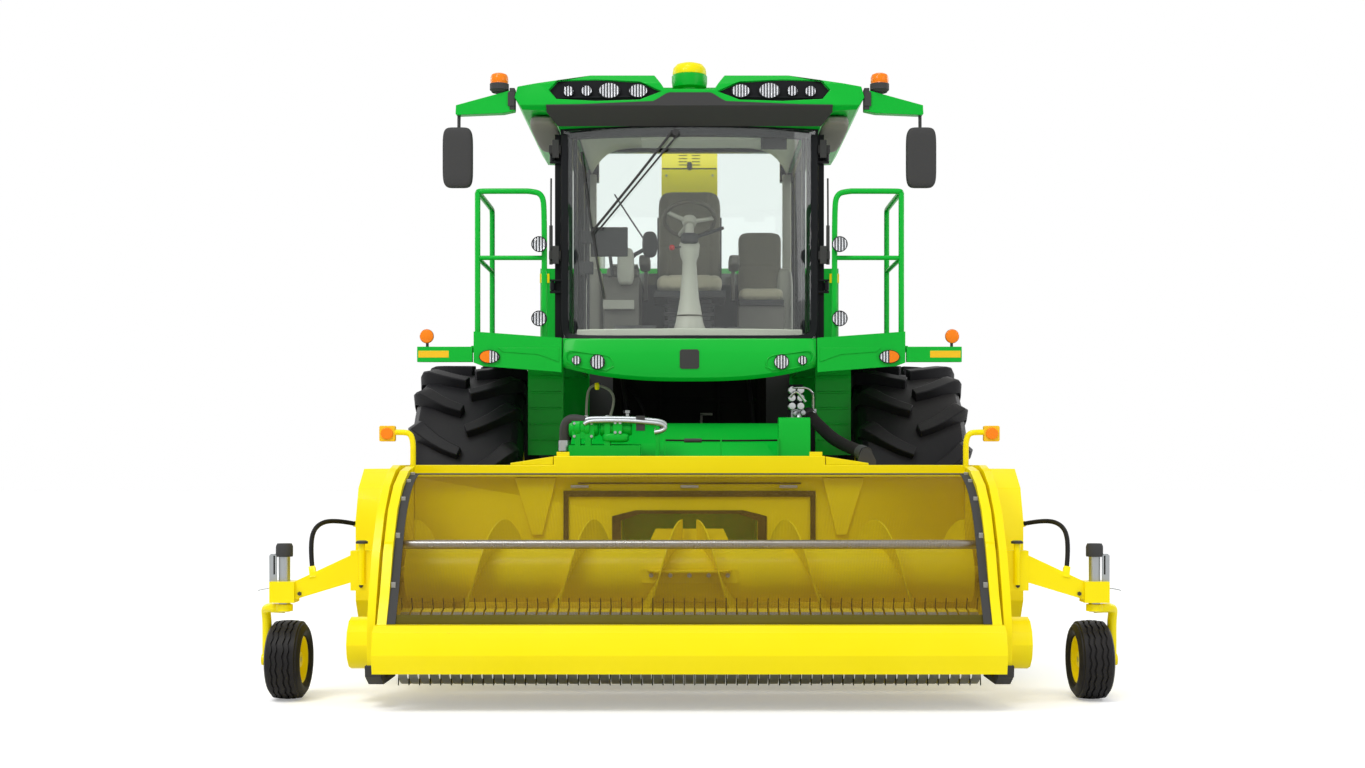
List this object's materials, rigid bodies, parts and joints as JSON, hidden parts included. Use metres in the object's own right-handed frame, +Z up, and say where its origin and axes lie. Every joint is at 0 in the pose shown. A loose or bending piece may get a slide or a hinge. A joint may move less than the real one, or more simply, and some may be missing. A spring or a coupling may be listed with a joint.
{
  "type": "forage harvester",
  "caption": "Self-propelled forage harvester with a windrow pickup header, high cab, curved spout, large front drive wheels and smaller steered rear wheels.",
  "frame": {"origin": "on the ground under the middle of the whole machine, half way along its length", "axes": "-Y is the front, where the header is, +X is the machine's left side, +Z is up"},
  "size_m": [4.352, 8, 3.8],
  "materials": {
    "beacon": "gloss",
    "black_plastic": "matte",
    "dark_frame": "satin",
    "glass": "clear",
    "green_paint": "gloss",
    "hose": "matte",
    "lamp": "gloss",
    "seat": "woven",
    "steel": "brushed",
    "tyre": "matte",
    "yellow_paint": "gloss"
  },
  "bodies": {
    "chassis": {"axles": "dark_frame", "beacons": "beacon", "cab_controls": "black_plastic", "cab_glass": "glass", "cab_roof": "green_paint", "cab_shell": "green_paint", "crop_channel": "dark_frame", "engine_block": "dark_frame", "engine_body": "green_paint", "front_fascia": "green_paint", "gps_receiver": "black_plastic", "handrails": "black_plastic", "main_frame": "dark_frame", "marker_bars": "black_plastic", "mirrors": "black_plastic", "platforms": "green_paint", "seat_pads": "seat", "tanks": "black_plastic", "work_lamps": "lamp"},
    "front_left_wheel": {"front_left_tyre": "tyre", "front_left_rim": "yellow_paint"},
    "front_right_wheel": {"front_right_tyre": "tyre", "front_right_rim": "yellow_paint"},
    "left_knuckle": {"knuckle_left": "dark_frame"},
    "right_knuckle": {"knuckle_right": "dark_frame"},
    "rear_left_wheel": {"rear_left_tyre": "tyre", "rear_left_rim": "yellow_paint"},
    "rear_right_wheel": {"rear_right_tyre": "tyre", "rear_right_rim": "yellow_paint"},
    "header": {"feeder_housing": "green_paint", "header_frame": "yellow_paint", "header_sides": "yellow_paint", "gauge_arms": "yellow_paint", "header_lamps": "yellow_paint", "header_drive": "steel", "feeder_hose": "hose", "header_hose_left": "hose", "header_hose_right": "hose"},
    "lift_barrel_pair": {"lift_barrels": "dark_frame"},
    "lift_rod_pair": {"lift_rods": "steel"},
    "auger_drum": {"auger": "yellow_paint"},
    "reel_drum": {"pickup_reel": "yellow_paint"},
    "guard": {"wind_guard": "yellow_paint", "guard_curtain": "black_plastic"},
    "press_roller": {"guard_roller": "steel"},
    "left_caster": {"caster_fork_left": "yellow_paint"},
    "right_caster": {"caster_fork_right": "yellow_paint"},
    "left_caster_wheel": {"caster_left_tyre": "tyre", "caster_left_rim": "yellow_paint"},
    "right_caster_wheel": {"caster_right_tyre": "tyre", "caster_right_rim": "yellow_paint"},
    "turret": {"spout_turret": "yellow_paint"},
    "chute": {"spout_chute": "yellow_paint"},
    "flap": {"spout_flap": "yellow_paint"},
    "left_door": {"door_left": "green_paint", "door_glass_left": "glass"},
    "right_door": {"door_right": "green_paint", "door_glass_right": "glass"},
    "left_panel": {"side_panel_left": "green_paint"},
    "right_panel": {"side_panel_right": "green_paint"}
  },
  "joints": [
    {"name": "front_left_wheel_spin", "type": "hinge", "parent": "chassis", "child": "front_left_wheel", "pos_m": [1.39, -1, 0.92], "axis": [1, 0, 0], "continuous": true},
    {"name": "front_right_wheel_spin", "type": "hinge", "parent": "chassis", "child": "front_right_wheel", "pos_m": [-1.39, -1, 0.92], "axis": [1, 0, 0], "continuous": true},
    {"name": "steer_left", "type": "hinge", "parent": "chassis", "child": "left_knuckle", "pos_m": [0.93, 2.25, 0.72], "axis": [0, 0, 1], "range_deg": [-40, 40]},
    {"name": "steer_right", "type": "hinge", "parent": "chassis", "child": "right_knuckle", "pos_m": [-0.93, 2.25, 0.72], "axis": [0, 0, 1], "range_deg": [-40, 40]},
    {"name": "rear_left_wheel_spin", "type": "hinge", "parent": "left_knuckle", "child": "rear_left_wheel", "pos_m": [1.25, 2.25, 0.72], "axis": [1, 0, 0], "continuous": true},
    {"name": "rear_right_wheel_spin", "type": "hinge", "parent": "right_knuckle", "child": "rear_right_wheel", "pos_m": [-1.25, 2.25, 0.72], "axis": [1, 0, 0], "continuous": true},
    {"name": "header_lift", "type": "hinge", "parent": "chassis", "child": "header", "pos_m": [0, -1.25, 1.05], "axis": [-1, 0, 0], "range_deg": [0, 20]},
    {"name": "lift_barrel_tilt", "type": "hinge", "parent": "chassis", "child": "lift_barrel_pair", "pos_m": [0, -1.18, 0.64], "axis": [-1, 0, 0], "range_deg": [-1, 20]},
    {"name": "lift_rod_slide", "type": "slide", "parent": "lift_barrel_pair", "child": "lift_rod_pair", "axis": [0, -0.9794, -0.2019], "range_m": [-0.005, 0.2]},
    {"name": "auger_spin", "type": "hinge", "parent": "header", "child": "auger_drum", "pos_m": [0, -3.11, 0.61], "axis": [1, 0, 0], "continuous": true},
    {"name": "reel_spin", "type": "hinge", "parent": "header", "child": "reel_drum", "pos_m": [0, -3.6, 0.3], "axis": [1, 0, 0], "continuous": true},
    {"name": "guard_lift", "type": "hinge", "parent": "header", "child": "guard", "pos_m": [0, -3.08, 1.156], "axis": [-1, 0, 0], "range_deg": [0, 40]},
    {"name": "press_roller_spin", "type": "hinge", "parent": "guard", "child": "press_roller", "pos_m": [0, -3.56, 0.79], "axis": [1, 0, 0], "continuous": true},
    {"name": "left_caster_swivel", "type": "hinge", "parent": "header", "child": "left_caster", "pos_m": [2.04, -3.56, 0.2], "axis": [0, 0, 1], "continuous": true},
    {"name": "right_caster_swivel", "type": "hinge", "parent": "header", "child": "right_caster", "pos_m": [-2.04, -3.56, 0.2], "axis": [0, 0, 1], "continuous": true},
    {"name": "left_caster_wheel_spin", "type": "hinge", "parent": "left_caster", "child": "left_caster_wheel", "pos_m": [2.04, -3.465, 0.2], "axis": [1, 0, 0], "continuous": true},
    {"name": "right_caster_wheel_spin", "type": "hinge", "parent": "right_caster", "child": "right_caster_wheel", "pos_m": [-2.04, -3.465, 0.2], "axis": [1, 0, 0], "continuous": true},
    {"name": "spout_turn", "type": "hinge", "parent": "chassis", "child": "turret", "pos_m": [0, 0.53, 2.3], "axis": [0, 0, 1], "range_deg": [-105, 105]},
    {"name": "spout_lift", "type": "hinge", "parent": "turret", "child": "chute", "pos_m": [0, 0.53, 3.1], "axis": [1, 0, 0], "range_deg": [0, 35]},
    {"name": "spout_flap_tilt", "type": "hinge", "parent": "chute", "child": "flap", "pos_m": [0, 3.43, 3.6], "axis": [-1, 0, 0], "range_deg": [0, 60]},
    {"name": "left_door_swing", "type": "hinge", "parent": "chassis", "child": "left_door", "pos_m": [0.845, -1.7, 1.9], "axis": [0, 0, -1], "range_deg": [0, 40]},
    {"name": "right_door_swing", "type": "hinge", "parent": "chassis", "child": "right_door", "pos_m": [-0.845, -1.7, 1.9], "axis": [0, 0, 1], "range_deg": [0, 40]},
    {"name": "left_panel_lift", "type": "hinge", "parent": "chassis", "child": "left_panel", "pos_m": [1.166, 1, 2.364], "axis": [0, -1, 0], "range_deg": [0, 75]},
    {"name": "right_panel_lift", "type": "hinge", "parent": "chassis", "child": "right_panel", "pos_m": [-1.166, 1, 2.364], "axis": [0, 1, 0], "range_deg": [0, 75]}
  ],
  "couplings": [
    {"joint": "steer_right", "follows": "steer_left", "ratio": 1},
    {"joint": "lift_barrel_tilt", "follows": "header_lift", "ratio": 0.9595},
    {"joint": "lift_rod_slide", "follows": "header_lift", "m_per_rad": 0.412}
  ]
}
